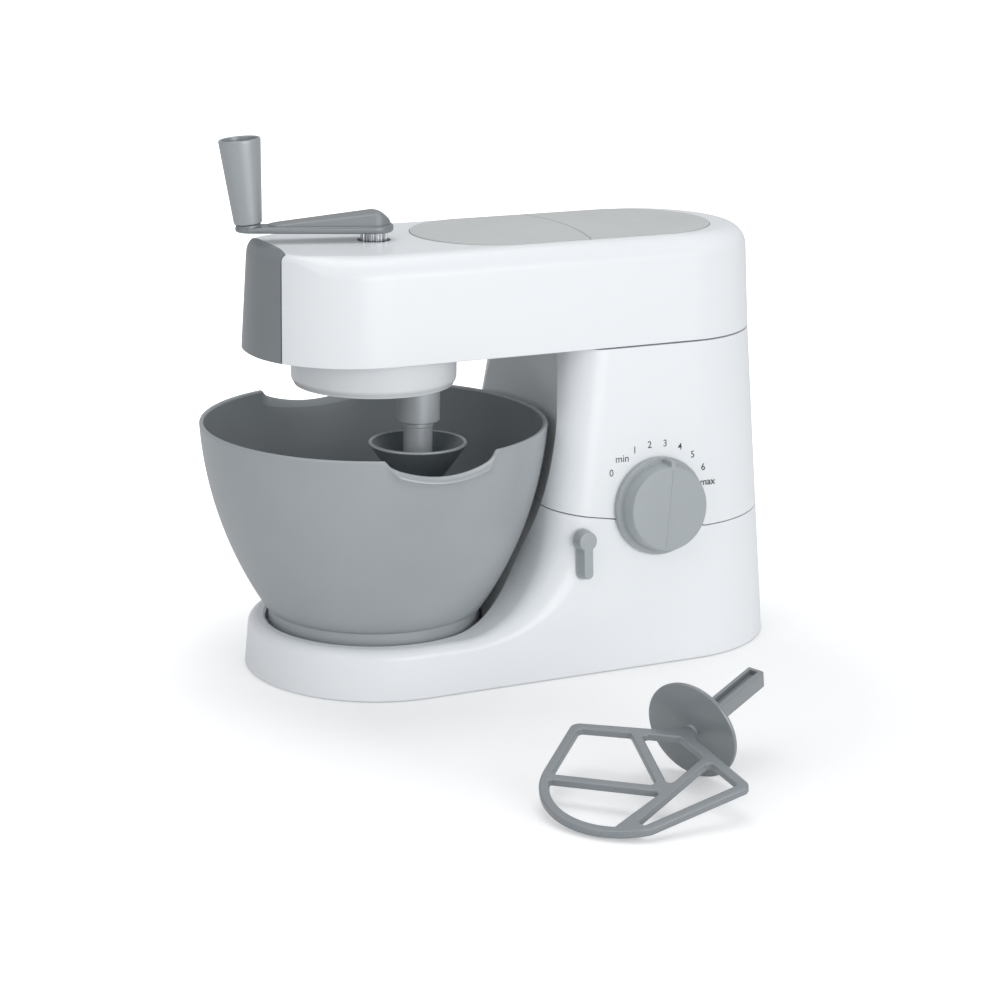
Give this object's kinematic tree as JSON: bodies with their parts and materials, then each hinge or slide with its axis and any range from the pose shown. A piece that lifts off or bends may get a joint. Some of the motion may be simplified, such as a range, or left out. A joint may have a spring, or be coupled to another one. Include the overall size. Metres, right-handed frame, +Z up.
{
  "type": "toy stand mixer",
  "caption": "Hand-cranked toy stand mixer: planetary tool drive, tilting head with a release lever, speed dial, loose bowl on a round seat and a loose K-beater.",
  "frame": {"origin": "on the table, under the axis of the bowl and the crank, on the flat underside of the base plate", "axes": "+Z up, +X from the bowl to the rear of the column, -Y towards the side with the dial"},
  "size_m": [0.3013, 0.3536, 0.2635],
  "materials": {
    "white_plastic": "moulded gloss",
    "grey_plastic": "moulded satin, silver-grey",
    "panel_grey": "moulded satin, pale grey",
    "dial_grey": "moulded satin, light grey",
    "bowl_silver": "metallic-filled satin",
    "dark_tool": "moulded satin, dark grey",
    "steel": "bright zinc",
    "nylon": "natural nylon",
    "rubber": "soft matte"
  },
  "bodies": {
    "pedestal": {"pedestal_shell": "white_plastic", "base_plate": "panel_grey", "grip_pads": "rubber", "base_screws": "steel", "hinge_pin": "steel"},
    "lever": {"lift_lever": "dial_grey", "lever_pawl": "nylon", "lever_screw": "steel"},
    "head": {"column_shell": "white_plastic", "column_front": "white_plastic", "column_screws": "steel", "head_shell": "white_plastic", "head_underside": "white_plastic", "head_skirt": "white_plastic", "underside_screws": "steel", "nose_cover": "grey_plastic", "front_panel": "panel_grey", "rear_panel": "panel_grey", "ring_gear": "nylon", "ring_screws": "steel", "crank_bush": "nylon", "detent_spring": "steel"},
    "dial": {"speed_dial": "dial_grey", "dial_star": "nylon", "dial_screw": "steel"},
    "crank": {"crank_arm": "grey_plastic", "crank_post": "steel", "planet_carrier": "grey_plastic", "drive_screw": "steel", "grip_pin": "steel"},
    "grip": {"crank_grip": "grey_plastic"},
    "tool": {"planet_gear": "nylon", "tool_socket": "grey_plastic", "planet_clip": "steel", "dough_hook": "dark_tool"},
    "bowl": {"mixing_bowl": "bowl_silver"},
    "beater": {"k_beater": "dark_tool"}
  },
  "joints": [
    {"name": "head_tilt", "type": "hinge", "parent": "pedestal", "child": "head", "pos_m": [0.20453, 0, 0.068], "axis": [0, 1, 0], "range_deg": [0, 45]},
    {"name": "crank_turn", "type": "hinge", "parent": "head", "child": "crank", "pos_m": [0, 0, 0.2], "axis": [0, 0, 1], "continuous": true},
    {"name": "grip_spin", "type": "hinge", "parent": "crank", "child": "grip", "pos_m": [-0.0587, 0.01464, 0.221], "axis": [-0.0879, 0.0219, 0.9959], "continuous": true},
    {"name": "tool_spin", "type": "hinge", "parent": "crank", "child": "tool", "pos_m": [0.01724, -0.01446, 0.15], "axis": [0, 0, 1], "continuous": true},
    {"name": "dial_turn", "type": "hinge", "parent": "head", "child": "dial", "pos_m": [0.1276, -0.05946, 0.0813], "axis": [0, -0.9968, 0.0802], "range_deg": [-65, 61]},
    {"name": "lever_turn", "type": "hinge", "parent": "pedestal", "child": "lever", "pos_m": [0.085, -0.06047, 0.0687], "axis": [0, 0.9968, -0.0802], "range_deg": [0, 35], "stiffness_Nm_per_rad": 0.02},
    {"name": "bowl_turn", "type": "hinge", "parent": "pedestal", "child": "bowl", "pos_m": [0, 0, 0.018], "axis": [0, 0, 1], "continuous": true},
    {"name": "beater_lift", "type": "slide", "parent": "pedestal", "child": "beater", "axis": [0, 0, 1], "range_m": [0, 0.1]}
  ],
  "couplings": [
    {"joint": "tool_spin", "follows": "crank_turn", "ratio": -3}
  ]
}
